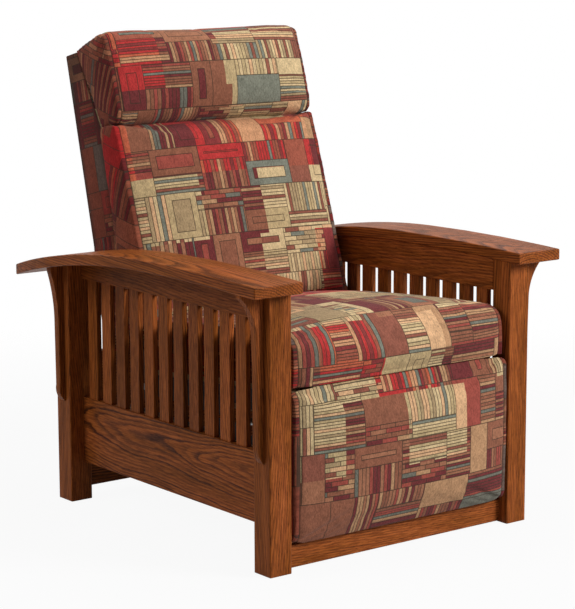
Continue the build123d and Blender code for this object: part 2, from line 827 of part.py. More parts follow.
def back_webbing():
    """Straps across the front edges of the stiles, behind the lower cushion."""
    near = back_side_depth - back_cover_thickness - plate_gap
    far = near + web_thickness
    pitch = seam_height / (back_web_count + 1)
    straps = []
    for n in range(1, back_web_count + 1):
        low = n * pitch - back_web_width / 2
        outline = [(near, low), (far, low), (far, low + back_web_width), (near, low + back_web_width)]
        straps.append(back_profile(outline, -stile_outer, stile_outer))
    return straps


def footrest_board():
    low = footrest_bottom + footrest_board_margin
    high = footrest_top - footrest_board_margin
    half = seat_half + footrest_board_overhang
    return block(-half, half, footrest_board_setback, board_rear, low, high)


def runner():
    """The timber under a base plate, screwed to the inside of a side rail."""
    return block(base_plate_outer, leg_inner, runner_setback, runner_rear,
                 runner_low, runner_low + runner_height)


def build():
    os.makedirs("parts", exist_ok=True)
    write_pair("front_leg", leg(0))
    write_pair("rear_leg", leg(rear_leg_setback))
    write_pair("arm", arm())
    write_pair("arm_rail", arm_rail())
    write_pair("side_rail", side_rail())
    right_slats = slats()
    write("slats_right", *right_slats)
    write("slats_left", *[mirrored(piece) for piece in right_slats])
    write_pair("front_corbel", corbel(0, front_corbel_reach, front_corbel_waist, front_corbel_waist_drop))
    write_pair("rear_corbel",
               corbel(rear_leg_setback, rear_corbel_reach, rear_corbel_waist, rear_corbel_waist_drop))
    write("front_rail", cross_rail(front_rail_setback, front_rail_thickness, *front_rail_ends))
    write("rear_rail", cross_rail(rear_rail_setback, rear_rail_thickness, *rear_rail_ends))

    write_pair("runner", runner())
    write_pair("base_plate", base_plate())
    write_sides("base_studs", base_studs())
    write_pair("front_swing_link", swing_link(front_swing_base, front_swing_top))
    write_pair("rear_swing_link", swing_link(rear_swing_base, rear_swing_top))
    write("swing_rod", rod(swing_rod_place, swing_rod_radius))
    write_pair("seat_plate", seat_plate())
    write_sides("seat_studs", seat_studs())
    write_pair("footrest_rear_link", rear_link())
    write_pair("footrest_front_link", front_link())
    write("front_link_rod", rod(front_rod_place, front_rod_radius))
    write_pair("footrest_cross_link", cross_link())
    write_pair("footrest_end_link", end_link())
    write_pair("footrest_bracket", footrest_bracket())
    write("footrest_board", footrest_board())
    write("footrest_pad", cushion(2 * (seat_half + footrest_pad_overhang), pad_section))

    seat_middle = (seat_box_setback + seat_box_rear) / 2
    board_end = seat_half - seat_box_wood
    write_pair("seat_side_board", seat_board(seat_box_setback, seat_box_rear, board_end, seat_half))
    board_starts = (seat_box_setback, seat_middle, seat_box_rear - seat_box_wood)
    write("seat_cross_boards",
          *[seat_board(start, start + seat_box_wood, -board_end, board_end) for start in board_starts])
    write("seat_webbing", *seat_webbing())
    write("seat_cushion", cushion(2 * (seat_half + seat_cushion_overhang), seat_section))
    write_pair("back_bracket", back_bracket())
    write_pair("back_stile", stile())
    inset = back_cover_thickness + plate_gap
    for name, low in (("back_bottom_rail", inset), ("back_middle_rail", seam_height - back_rail_height),
                      ("back_top_rail", back_height - inset - back_rail_height)):
        write(name, back_rail(low))
    write("back_webbing", *back_webbing())
    write("back_cover", back_cover())
    write("back_cushion", cushion(back_span + 2 * back_cushion_overhang, back_cushion_section))
    write("head_pillow", cushion(back_span + 2 * pillow_overhang, head_pillow_section))


build()
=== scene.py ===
import math

import bmesh
import bpy
import numpy as np
from mathutils import Matrix, Vector, noise


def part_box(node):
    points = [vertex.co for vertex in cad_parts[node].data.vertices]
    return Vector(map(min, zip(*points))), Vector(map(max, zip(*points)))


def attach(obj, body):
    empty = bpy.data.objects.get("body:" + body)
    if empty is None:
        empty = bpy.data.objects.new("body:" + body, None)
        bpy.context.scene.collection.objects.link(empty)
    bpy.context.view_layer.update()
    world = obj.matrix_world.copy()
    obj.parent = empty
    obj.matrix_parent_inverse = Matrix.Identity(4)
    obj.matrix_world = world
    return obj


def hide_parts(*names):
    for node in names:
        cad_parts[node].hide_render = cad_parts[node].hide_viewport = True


# Mission reclining armchair: stained oak frame, tapestry cushions, steel recliner mechanism.
# Metres throughout. The chair faces -Y and stands on the floor at Z 0.

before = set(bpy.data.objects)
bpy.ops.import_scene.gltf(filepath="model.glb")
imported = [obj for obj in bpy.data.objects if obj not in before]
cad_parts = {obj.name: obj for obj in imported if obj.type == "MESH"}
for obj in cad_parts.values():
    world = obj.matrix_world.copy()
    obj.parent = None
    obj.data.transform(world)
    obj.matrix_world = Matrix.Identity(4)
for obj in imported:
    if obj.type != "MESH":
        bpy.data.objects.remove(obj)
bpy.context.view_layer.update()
scene = bpy.context.scene
print("frame loaded:", len(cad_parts), "parts")


# Node tree helpers

def wire(tree, value, inlet):
    if isinstance(value, bpy.types.NodeSocket):
        tree.links.new(value, inlet)
    else:
        inlet.default_value = value


def calc(tree, operation, a, b=0.0, c=0.0):
    node = tree.nodes.new("ShaderNodeMath")
    node.operation = operation
    for inlet, value in zip(node.inputs, (a, b, c)):
        wire(tree, value, inlet)
    return node.outputs[0]


def vectorCalc(tree, operation, a, b):
    node = tree.nodes.new("ShaderNodeVectorMath")
    node.operation = operation
    wire(tree, a, node.inputs[0])
    wire(tree, b, node.inputs[1])
    return node.outputs[0]


def splitVector(tree, vector):
    node = tree.nodes.new("ShaderNodeSeparateXYZ")
    wire(tree, vector, node.inputs[0])
    return node.outputs[0], node.outputs[1], node.outputs[2]


def joinVector(tree, x, y, z):
    node = tree.nodes.new("ShaderNodeCombineXYZ")
    for inlet, value in zip(node.inputs, (x, y, z)):
        wire(tree, value, inlet)
    return node.outputs[0]


def mixColor(tree, factor, a, b, kind="MIX"):
    node = tree.nodes.new("ShaderNodeMix")
    node.data_type = "RGBA"
    node.blend_type = kind
    wire(tree, factor, node.inputs[0])
    wire(tree, a, node.inputs[6])
    wire(tree, b, node.inputs[7])
    return node.outputs[2]


def noiseAt(tree, vector, detail=2.0, roughness=0.5, color=False):
    node = tree.nodes.new("ShaderNodeTexNoise")
    wire(tree, vector, node.inputs["Vector"])
    node.inputs["Scale"].default_value = 1.0
    node.inputs["Detail"].default_value = detail
    node.inputs["Roughness"].default_value = roughness
    return node.outputs["Color"] if color else node.outputs[0]


def stretched(tree, vector, amounts):
    return vectorCalc(tree, "MULTIPLY", vector, amounts)


def dice(tree, vector):
    # four random numbers that stay the same all over one cell
    node = tree.nodes.new("ShaderNodeTexWhiteNoise")
    node.noise_dimensions = "3D"
    wire(tree, vector, node.inputs["Vector"])
    return (node.outputs["Value"],) + splitVector(tree, node.outputs["Color"])


def steppedRamp(tree, factor, stops):
    # flat colours, each from its position up to the next
    node = tree.nodes.new("ShaderNodeValToRGB")
    node.color_ramp.interpolation = "CONSTANT"
    elements = node.color_ramp.elements
    while len(elements) < len(stops):
        elements.new(0.5)
    for element, (position, color) in zip(elements, stops):
        element.position = position
        element.color = (*color, 1.0)
    wire(tree, factor, node.inputs[0])
    return node.outputs[0]


def spread(tree, value, low, high, toLow=0.0, toHigh=1.0):
    # a smooth step from one range to another
    node = tree.nodes.new("ShaderNodeMapRange")
    node.interpolation_type = "SMOOTHSTEP"
    for inlet, amount in zip(node.inputs, (value, low, high, toLow, toHigh)):
        wire(tree, amount, inlet)
    return node.outputs[0]


def attribute(tree, name):
    node = tree.nodes.new("ShaderNodeAttribute")
    node.attribute_name = name
    return node


def newGroup(name, inlets, outlets):
    tree = bpy.data.node_groups.new(name, "ShaderNodeTree")
    for label, kind, value in inlets:
        socket = tree.interface.new_socket(label, in_out="INPUT", socket_type=kind)
        if value is not None:
            socket.default_value = value
    for label, kind in outlets:
        tree.interface.new_socket(label, in_out="OUTPUT", socket_type=kind)
    return tree, tree.nodes.new("NodeGroupInput"), tree.nodes.new("NodeGroupOutput")


def placeGroup(tree, group, values):
    node = tree.nodes.new("ShaderNodeGroup")
    node.node_tree = group
    for name, value in values.items():
        wire(tree, value, node.inputs[name])
    return node


def newMaterial(name, **constants):
    material = bpy.data.materials.new(name)
    material.use_nodes = True
    tree = material.node_tree
    shader = tree.nodes["Principled BSDF"]
    for socketName, value in constants.items():
        shader.inputs[socketName.replace("_", " ")].default_value = value
    return material, tree, shader


def addBump(tree, shader, height, distance, strength=1.0):
    bump = tree.nodes.new("ShaderNodeBump")
    bump.inputs["Strength"].default_value = strength
    bump.inputs["Distance"].default_value = distance
    wire(tree, height, bump.inputs["Height"])
    tree.links.new(bump.outputs[0], shader.inputs["Normal"])


# Oak figure: porous ring bands cut by the board's face, long streaks and open pores
def makeOakFigure():
    tree, given, result = newGroup(
        "oakFigure",
        [("Place", "NodeSocketVector", None), ("Ring Gap", "NodeSocketFloat", 0.006),
         ("Wander", "NodeSocketFloat", 0.02), ("Ragged", "NodeSocketFloat", 0.0015)],
        [("Bands", "NodeSocketFloat"), ("Streaks", "NodeSocketFloat"), ("Pores", "NodeSocketFloat"),
         ("Cloud", "NodeSocketFloat"), ("Height", "NodeSocketFloat")])
    place = given.outputs["Place"]

    def drift(scales, detail, amount):
        random = noiseAt(tree, stretched(tree, place, scales), detail, 0.55, True)
        centred = vectorCalc(tree, "SUBTRACT", random, (0.5, 0.5, 0.5))
        return vectorCalc(tree, "MULTIPLY", centred, joinVector(tree, amount, amount, amount))

    moved = vectorCalc(tree, "ADD", place, drift((2.8, 9, 9), 2.0, given.outputs["Wander"]))
    moved = vectorCalc(tree, "ADD", moved, drift((26, 150, 150), 2.0, given.outputs["Ragged"]))
    _, y, z = splitVector(tree, moved)
    radius = calc(tree, "SQRT", calc(tree, "ADD", calc(tree, "MULTIPLY", y, y), calc(tree, "MULTIPLY", z, z)))
    turns = calc(tree, "DIVIDE", radius, given.outputs["Ring Gap"])
    ring = calc(tree, "FRACT", turns)
    strength = dice(tree, joinVector(tree, calc(tree, "FLOOR", turns), 0.5, 0.5))[0]
    band = calc(tree, "MULTIPLY", spread(tree, ring, 0.0, 0.12), spread(tree, ring, 0.16, 0.8, 1.0, 0.0))
    band = calc(tree, "MULTIPLY", band, calc(tree, "MULTIPLY_ADD", strength, 0.6, 0.4))
    streaks = noiseAt(tree, stretched(tree, place, (7, 300, 300)), 3.0, 0.62)
    pores = spread(tree, noiseAt(tree, stretched(tree, place, (48, 900, 900)), 1.0), 0.54, 0.68)
    pores = calc(tree, "MULTIPLY", pores, calc(tree, "MULTIPLY_ADD", band, 0.8, 0.25))
    wire(tree, band, result.inputs["Bands"])
    wire(tree, streaks, result.inputs["Streaks"])
    wire(tree, pores, result.inputs["Pores"])
    wire(tree, noiseAt(tree, stretched(tree, place, (2.2, 26, 26)), 3.0, 0.6), result.inputs["Cloud"])
    wire(tree, calc(tree, "SUBTRACT", calc(tree, "MULTIPLY", streaks, 0.3), pores), result.inputs["Height"])
    return tree


oakFigure = makeOakFigure()
timberLook = {"streaks": (0.36, 0.62), "poreShare": 0.8, "cloudShare": 1.3, "cloudBase": 0.33,
              "streakRough": 0.16, "poreRough": 0.2, "bumpDepth": 0.0003, "bumpStrength": 0.5}


def makeTimber(name, figure, colors, bandStrength, roughness, gloss):
    look = timberLook
    material, tree, shader = newMaterial(name, Specular_IOR_Level=gloss)
    grain = placeGroup(tree, oakFigure, {"Place": attribute(tree, "grainPlace").outputs["Vector"], **figure})
    streaks, pores = grain.outputs["Streaks"], grain.outputs["Pores"]
    color = mixColor(tree, spread(tree, streaks, *look["streaks"]), colors["pale"], colors["middle"])
    dark = calc(tree, "MULTIPLY", grain.outputs["Bands"],
                calc(tree, "MULTIPLY_ADD", streaks, bandStrength, bandStrength / 2))
    color = mixColor(tree, dark, color, colors["dark"])
    color = mixColor(tree, calc(tree, "MULTIPLY", pores, look["poreShare"]), color, colors["pore"])

    # each board has its own tone, with broad lighter and darker clouds that shift the blue most
    cloud = calc(tree, "MULTIPLY_ADD", grain.outputs["Cloud"], look["cloudShare"], look["cloudBase"])
    tone = calc(tree, "MULTIPLY", attribute(tree, "boardTone").outputs["Fac"], cloud)
    blueTone = calc(tree, "MULTIPLY", tone, cloud)
    color = mixColor(tree, 1.0, color, joinVector(tree, tone, tone, blueTone), "MULTIPLY")
    wire(tree, color, shader.inputs["Base Color"])
    rough = calc(tree, "MULTIPLY_ADD", streaks, look["streakRough"], roughness)
    wire(tree, calc(tree, "MULTIPLY_ADD", pores, look["poreRough"], rough), shader.inputs["Roughness"])
    addBump(tree, shader, grain.outputs["Height"], look["bumpDepth"], look["bumpStrength"])
    return material


oakColors = {"pale": (0.375, 0.104, 0.022, 1), "middle": (0.225, 0.057, 0.012, 1),
             "dark": (0.052, 0.013, 0.005, 1), "pore": (0.020, 0.007, 0.003, 1)}
hardwoodColors = {"pale": (0.42, 0.29, 0.165, 1), "middle": (0.34, 0.225, 0.12, 1),
                  "dark": (0.25, 0.155, 0.08, 1), "pore": (0.17, 0.10, 0.05, 1)}
plainSawn = {"Ring Gap": 0.0062, "Wander": 0.034, "Ragged": 0.0034}
riftSawn = {"Ring Gap": 0.0046, "Wander": 0.014, "Ragged": 0.0026}
armSawn = {"Ring Gap": 0.0056, "Wander": 0.020, "Ragged": 0.0034}
evenSawn = {"Ring Gap": 0.009, "Wander": 0.02, "Ragged": 0.001}
satin = {"roughness": 0.34, "gloss": 0.06}
flatOak = makeTimber("flatSawnOak", plainSawn, oakColors, bandStrength=1.0, **satin)
straightOak = makeTimber("straightOak", riftSawn, oakColors, bandStrength=0.55, **satin)
armOak = makeTimber("armOak", armSawn, oakColors, bandStrength=0.8, **satin)
plainHardwood = makeTimber("plainHardwood", evenSawn, hardwoodColors, bandStrength=0.8, roughness=0.6,
                           gloss=0.3)
print("timber finishes made")


# Tapestry: a patchwork of woven blocks. kindTo gives the kinds of block as shares of 0 to 1, and the rest
# are framed panels. Sizes and pitches are metres of cloth. The side values give the cushions' sides red and
# plum cloth and darken them with painted shade.
weaveLook = {
    "block": (0.128, 0.106), "patch": (0.17, 0.155), "cutSpread": 0.34, "cutFrom": 0.33,
    "kindTo": {"plain": 0.2, "rows": 0.46, "columns": 0.72, "bars": 0.8},
    "pitch": 0.0058, "pitchSpread": 0.009, "framePitch": 0.004, "frameBands": 1.5, "freeBands": 100.0,
    "bar": (0.042, 0.0105), "barShift": 0.37, "redFrom": 0.44, "plumFrom": 0.66, "sideFamilyAndShade": 0.5,
    "sideRed": -0.2, "sideCool": -0.46, "outline": (0.0005, 0.0013), "outlineShare": 0.88,
    "outlineColor": (0.045, 0.03, 0.02, 1), "noLine": 0.01, "yarnPitch": 0.0016,
}
yarnShades = {
    "cream": [(0.0, (0.58, 0.43, 0.235)), (0.28, (0.47, 0.345, 0.18)), (0.52, (0.62, 0.37, 0.20)),
              (0.66, (0.37, 0.26, 0.14)), (0.78, (0.25, 0.085, 0.055)), (0.92, (0.19, 0.195, 0.15))],
    "red": [(0.0, (0.44, 0.036, 0.034)), (0.36, (0.50, 0.115, 0.058)), (0.50, (0.22, 0.036, 0.034)),
            (0.64, (0.54, 0.27, 0.14)), (0.80, (0.31, 0.085, 0.052)), (0.93, (0.18, 0.185, 0.145))],
    "plum": [(0.0, (0.150, 0.030, 0.030)), (0.26, (0.25, 0.095, 0.055)), (0.46, (0.30, 0.066, 0.048)),
             (0.60, (0.43, 0.24, 0.125)), (0.76, (0.32, 0.135, 0.075)), (0.92, (0.15, 0.145, 0.115))],
}


def makeTapestryWeave():
    look = weaveLook
    tree, given, result = newGroup(
        "tapestryWeave",
        [("Place", "NodeSocketVector", None), ("Seed", "NodeSocketFloat", 0.0),
         ("Side", "NodeSocketFloat", 0.0)],
        [("Color", "NodeSocketColor"), ("Height", "NodeSocketFloat")])
    blockWidth, blockHeight = look["block"]
    patchWidth, patchHeight = look["patch"]
    place, seed, side = given.outputs["Place"], given.outputs["Seed"], given.outputs["Side"]
    u, v, _ = splitVector(tree, place)

    # colour families change over larger patches, and a side takes only the red and the plum ones: partly the
    # sides' own red cloth, partly painted shade from these darker families
    patchRow = calc(tree, "FLOOR", calc(tree, "DIVIDE", v, patchHeight))
    patchShift = dice(tree, joinVector(tree, patchRow, 11.5, seed))[0]
    patchColumn = calc(tree, "FLOOR", calc(tree, "ADD", calc(tree, "DIVIDE", u, patchWidth), patchShift))
    family = dice(tree, joinVector(tree, patchColumn, patchRow, calc(tree, "ADD", seed, 4.5)))[0]
    family = calc(tree, "MULTIPLY_ADD", family, calc(tree, "MULTIPLY_ADD", side, -look["sideFamilyAndShade"], 1.0),
                  calc(tree, "MULTIPLY", side, look["sideFamilyAndShade"]))

    # rows of blocks, each row shifted, each block divided once
    row = calc(tree, "FLOOR", calc(tree, "DIVIDE", v, blockHeight))
    rowShift = dice(tree, joinVector(tree, row, 3.5, seed))[0]
    across = calc(tree, "ADD", calc(tree, "DIVIDE", u, blockWidth), rowShift)
    column = calc(tree, "FLOOR", across)
    fromLeft = calc(tree, "MULTIPLY", calc(tree, "FRACT", across), blockWidth)
    fromLow = calc(tree, "MULTIPLY", calc(tree, "FRACT", calc(tree, "DIVIDE", v, blockHeight)), blockHeight)
    _, cut, way, _ = dice(tree, joinVector(tree, column, row, seed))
    cut = calc(tree, "MULTIPLY_ADD", cut, look["cutSpread"], look["cutFrom"])
    upright = calc(tree, "GREATER_THAN", way, 0.5)
    level = calc(tree, "SUBTRACT", 1.0, upright)

    def edges(distance, size, used):
        # whether a place lies in the second half, and how far it is from its half's low and high edge
        middle = calc(tree, "MULTIPLY", cut, size)
        beyond = calc(tree, "MULTIPLY", calc(tree, "GREATER_THAN", distance, middle), used)
        low = calc(tree, "MULTIPLY", beyond, middle)
        before = calc(tree, "MULTIPLY", calc(tree, "SUBTRACT", 1.0, beyond), used)
        rest = calc(tree, "SUBTRACT", size, middle)
        high = calc(tree, "SUBTRACT", size, calc(tree, "MULTIPLY", before, rest))
        return beyond, calc(tree, "SUBTRACT", distance, low), calc(tree, "SUBTRACT", high, distance)

    secondAcross, leftGap, rightGap = edges(fromLeft, blockWidth, upright)
    secondUp, lowGap, highGap = edges(fromLow, blockHeight, level)
    edge = calc(tree, "MINIMUM", calc(tree, "MINIMUM", leftGap, rightGap),
                calc(tree, "MINIMUM", lowGap, highGap))
    piece = joinVector(tree, calc(tree, "MULTIPLY_ADD", secondAcross, 0.4, column),
                       calc(tree, "MULTIPLY_ADD", secondUp, 0.4, row), calc(tree, "ADD", seed, 8.5))
    kind, width, start, _ = dice(tree, piece)

    def between(low, high):
        above, below = calc(tree, "GREATER_THAN", kind, low), calc(tree, "LESS_THAN", kind, high)
        return calc(tree, "MULTIPLY", above, below)

    def nearLine(turns, size):
        part = calc(tree, "FRACT", turns)
        return calc(tree, "MULTIPLY", calc(tree, "MINIMUM", part, calc(tree, "SUBTRACT", 1.0, part)), size)

    # stripes across, stripes up, one border round a plain middle, or plain all over
    kindTo = look["kindTo"]
    rows, columns = between(kindTo["plain"], kindTo["rows"]), between(kindTo["rows"], kindTo["columns"])
    framed = between(kindTo["bars"], 1.1)
    depth = calc(tree, "MULTIPLY", rows, lowGap)
    depth = calc(tree, "MULTIPLY_ADD", columns, leftGap, depth)
    depth = calc(tree, "MULTIPLY_ADD", framed, edge, depth)
    pitch = calc(tree, "MULTIPLY", width, width)
    pitch = calc(tree, "MULTIPLY_ADD", pitch, look["pitchSpread"], look["pitch"])
    pitch = calc(tree, "MULTIPLY_ADD", framed, look["framePitch"], pitch)
    mostBands = calc(tree, "MULTIPLY_ADD", framed, look["frameBands"] - look["freeBands"], look["freeBands"])
    bands = calc(tree, "MINIMUM", calc(tree, "DIVIDE", depth, pitch), mostBands)
    plain = calc(tree, "LESS_THAN", kind, kindTo["plain"])
    line = calc(tree, "MULTIPLY_ADD", plain, look["noLine"], nearLine(bands, pitch))
    band = calc(tree, "FLOOR", bands)

    # or short bars laid like bricks
    barLength, barHeight = look["bar"]
    barred = between(kindTo["columns"], kindTo["bars"])
    barRows = calc(tree, "DIVIDE", fromLow, barHeight)
    barRow = calc(tree, "FLOOR", barRows)
    barTurns = calc(tree, "ADD", calc(tree, "DIVIDE", u, barLength),
                    calc(tree, "MULTIPLY", barRow, look["barShift"]))
    barNumber = calc(tree, "MULTIPLY_ADD", barRow, 7.3, calc(tree, "FLOOR", barTurns))
    barLine = calc(tree, "MINIMUM", nearLine(barRows, barHeight), nearLine(barTurns, barLength))
    otherBand = calc(tree, "MULTIPLY", band, calc(tree, "SUBTRACT", 1.0, barred))
    band = calc(tree, "MULTIPLY_ADD", barred, barNumber, otherBand)
    line = calc(tree, "MULTIPLY_ADD", barred, calc(tree, "SUBTRACT", barLine, line), line)

    # every band draws its shade from its family's yarns
    shade = dice(tree, joinVector(tree, calc(tree, "ADD", band, calc(tree, "MULTIPLY", start, 50.0)),
                                  calc(tree, "ADD", row, 0.5), calc(tree, "ADD", column, 0.5)))[0]
    cream, red, plum = (steppedRamp(tree, shade, yarnShades[name]) for name in ("cream", "red", "plum"))
    color = mixColor(tree, calc(tree, "GREATER_THAN", family, look["redFrom"]), cream, red)
    color = mixColor(tree, calc(tree, "GREATER_THAN", family, look["plumFrom"]), color, plum)

    # chenille: slubby yarns across, a little lighter and darker, with dark outlines woven in, and painted
    # shade that darkens the sides
    slub = noiseAt(tree, stretched(tree, place, (620, 210, 1)), 2.0, 0.6)
    knot = noiseAt(tree, stretched(tree, place, (250, 90, 1)), 2.0, 0.7)
    cloud = noiseAt(tree, stretched(tree, place, (48, 34, 1)), 3.0, 0.6)
    tint = calc(tree, "MULTIPLY_ADD", cloud, 0.7, 0.32)
    tint = calc(tree, "MULTIPLY_ADD", spread(tree, slub, 0.36, 0.64), 0.30, tint)
    tint = calc(tree, "MULTIPLY_ADD", spread(tree, knot, 0.34, 0.66), 0.30, tint)
    # painted shade: the sides are darkened, the green and blue more than the red
    redTintAndSideShade = calc(tree, "MULTIPLY", tint, calc(tree, "MULTIPLY_ADD", side, look["sideRed"], 1.0))
    coolTintAndSideShade = calc(tree, "MULTIPLY", tint, calc(tree, "MULTIPLY_ADD", side, look["sideCool"], 1.0))
    color = mixColor(tree, 1.0, color, joinVector(tree, redTintAndSideShade, coolTintAndSideShade, coolTintAndSideShade), "MULTIPLY")
    outline = spread(tree, calc(tree, "MINIMUM", line, edge), *look["outline"], 1.0, 0.0)
    color = mixColor(tree, calc(tree, "MULTIPLY", outline, look["outlineShare"]), color, look["outlineColor"])
    yarns = calc(tree, "SINE", calc(tree, "MULTIPLY", u, 2 * math.pi / look["yarnPitch"]))
    height = calc(tree, "MULTIPLY_ADD", yarns, 0.25, calc(tree, "MULTIPLY", slub, 1.1))
    height = calc(tree, "SUBTRACT", height, calc(tree, "MULTIPLY", outline, 0.7))
    wire(tree, color, result.inputs["Color"])
    wire(tree, height, result.inputs["Height"])
    return tree


tapestryWeave = makeTapestryWeave()
stitchLook = {"edges": (0.0006, 0.0022), "share": 0.7, "color": (0.03, 0.018, 0.013, 1), "depth": 2.0,
              "bumpDepth": 0.0005, "bumpStrength": 0.7}


def makeTapestry(name, seed):
    material, tree, shader = newMaterial(name, Roughness=0.9, Sheen_Weight=0.05, Sheen_Roughness=0.5,
                                         Specular_IOR_Level=0.1)
    seam = attribute(tree, "seamSide").outputs["Fac"]
    side = calc(tree, "GREATER_THAN", seam, 0.0)
    place = tree.nodes.new("ShaderNodeMix")
    place.data_type = "VECTOR"
    wire(tree, side, place.inputs[0])
    wire(tree, attribute(tree, "clothFront").outputs["Vector"], place.inputs[4])
    wire(tree, attribute(tree, "clothSide").outputs["Vector"], place.inputs[5])
    weave = placeGroup(tree, tapestryWeave, {"Place": place.outputs[1], "Seed": seed, "Side": side})
    stitch = spread(tree, calc(tree, "ABSOLUTE", seam), *stitchLook["edges"], 1.0, 0.0)
    color = mixColor(tree, calc(tree, "MULTIPLY", stitch, stitchLook["share"]), weave.outputs["Color"],
                     stitchLook["color"])
    wire(tree, color, shader.inputs["Base Color"])
    height = calc(tree, "SUBTRACT", weave.outputs["Height"],
                  calc(tree, "MULTIPLY", stitch, stitchLook["depth"]))
    addBump(tree, shader, height, stitchLook["bumpDepth"], stitchLook["bumpStrength"])
    return material


# Woven webbing: broken twill of dark polypropylene
webbingLook = {"pitch": 0.004, "pale": (0.10, 0.088, 0.072, 1), "dark": (0.03, 0.026, 0.022, 1),
               "dust": (0.16, 0.14, 0.12, 1), "dustShare": 0.3, "bumpDepth": 0.0004}


def makeWebbing():
    look = webbingLook
    material, tree, shader = newMaterial("webbing", Roughness=0.7, Specular_IOR_Level=0.3)
    coords = tree.nodes.new("ShaderNodeTexCoord").outputs["Object"]
    x, y, z = splitVector(tree, coords)
    turn = 2 * math.pi / look["pitch"]
    along = calc(tree, "SINE", calc(tree, "MULTIPLY", calc(tree, "ADD", x, y), turn))
    cross = calc(tree, "SUBTRACT", calc(tree, "ADD", y, z), x)
    cross = calc(tree, "SINE", calc(tree, "MULTIPLY", cross, turn))
    weave = calc(tree, "MULTIPLY", along, cross)
    dusty = noiseAt(tree, stretched(tree, coords, (60, 60, 60)), 3.0)
    color = mixColor(tree, spread(tree, weave, -0.6, 0.8), look["dark"], look["pale"])
    color = mixColor(tree, calc(tree, "MULTIPLY", dusty, look["dustShare"]), color, look["dust"])
    wire(tree, color, shader.inputs["Base Color"])
    addBump(tree, shader, weave, look["bumpDepth"])
    return material


# Mechanism steel: black e-coat or zinc, rubbed bare in places
def makeSteel(name, coatColor, bareColor, bareness):
    material, tree, shader = newMaterial(name, Metallic=0.55, Specular_IOR_Level=0.5)
    coords = tree.nodes.new("ShaderNodeTexCoord").outputs["Object"]
    scuffs = noiseAt(tree, stretched(tree, coords, (90, 34, 34)), 4.0, 0.7)
    fine = noiseAt(tree, stretched(tree, coords, (600, 600, 600)), 2.0, 0.6)
    bare = spread(tree, scuffs, 0.62 - bareness, 0.78 - bareness)
    wire(tree, mixColor(tree, bare, coatColor, bareColor), shader.inputs["Base Color"])
    wire(tree, calc(tree, "MULTIPLY_ADD", scuffs, 0.3, 0.26), shader.inputs["Roughness"])
    addBump(tree, shader, fine, 0.0001, 0.5)
    return material


webbing = makeWebbing()
blackSteel = makeSteel("blackSteel", coatColor=(0.030, 0.030, 0.032, 1), bareColor=(0.16, 0.155, 0.15, 1),
                       bareness=0.0)
zincSteel = makeSteel("zincSteel", coatColor=(0.42, 0.42, 0.40, 1), bareColor=(0.56, 0.56, 0.55, 1),
                      bareness=0.08)
print("fabric and metal finishes made")


# Mesh helpers
creaseAngle = math.radians(40)


def pointsOf(mesh):
    flat = np.empty(len(mesh.vertices) * 3)
    mesh.vertices.foreach_get("co", flat)
    return flat.reshape(-1, 3)


def normalsOf(mesh):
    flat = np.empty(len(mesh.vertices) * 3)
    mesh.vertices.foreach_get("normal", flat)
    return flat.reshape(-1, 3)


def movePoints(mesh, points):
    mesh.vertices.foreach_set("co", points.ravel())
    mesh.update()


def keep(mesh, name, values):
    # one number or one vector for each vertex, read by the materials
    kind = "FLOAT" if values.ndim == 1 else "FLOAT_VECTOR"
    layer = mesh.attributes.new(name, kind, "POINT")
    layer.data.foreach_set("value" if kind == "FLOAT" else "vector", values.astype(np.float32).ravel())


def weldedCopy(nodeName):
    shape = bmesh.new()
    shape.from_mesh(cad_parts[nodeName].data)
    bmesh.ops.remove_doubles(shape, verts=shape.verts, dist=0.00002)
    return shape


def startFrom(nodeName):
    # a welded copy of a part's mesh, with its flat faces whole
    shape = weldedCopy(nodeName)
    bmesh.ops.dissolve_limit(shape, angle_limit=math.radians(0.6), verts=shape.verts, edges=shape.edges)
    return shape


def cutAcross(shape, place, normal):
    # adds points where a plane crosses the shape, so that it can bend there
    bmesh.ops.bisect_plane(shape, geom=shape.verts[:] + shape.edges[:] + shape.faces[:], dist=1e-5,
                           plane_co=place, plane_no=normal)


def easeEdges(shape, width, segments=2, angle=28):
    sharp = [e for e in shape.edges if e.is_manifold and e.calc_face_angle(0) > math.radians(angle)]
    bmesh.ops.bevel(shape, geom=sharp, offset=width, offset_type="OFFSET", affect="EDGES", segments=segments,
                    profile=0.5, material=-1, clamp_overlap=True)


def newPiece(shape, name, material, body, replaced):
    mesh = bpy.data.meshes.new(name)
    shape.to_mesh(mesh)
    shape.free()
    piece = bpy.data.objects.new(name, mesh)
    scene.collection.objects.link(piece)
    finishPiece(piece, material, body, replaced)
    return piece


def finishPiece(piece, material, body, replaced):
    piece.data.materials.clear()
    piece.data.materials.append(material)
    piece.data.shade_smooth()
    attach(piece, body)
    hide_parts(*replaced)


def islandsOf(mesh):
    # the number of the separate solid that each vertex belongs to
    parent = list(range(len(mesh.vertices)))

    def root(n):
        while parent[n] != n:
            parent[n] = parent[parent[n]]
            n = parent[n]
        return n

    for edge in mesh.edges:
        a, b = root(edge.vertices[0]), root(edge.vertices[1])
        if a != b:
            parent[a] = b
    roots = [root(n) for n in range(len(parent))]
    order = {r: i for i, r in enumerate(sorted(set(roots)))}
    return np.array([order[r] for r in roots])


# Timber: each board is the CAD board with its edges eased and its own run of grain. logSpread says where in
# a log a board is cut: how far behind its face the log's middle lies, how that leans, how far the board sits
# aside of it, and how far along the log.
logSpread = {"lift": (0.05, 0.10), "lean": (0.04, 0.10), "aside": (-0.03, 0.03), "apart": (-20, 20)}


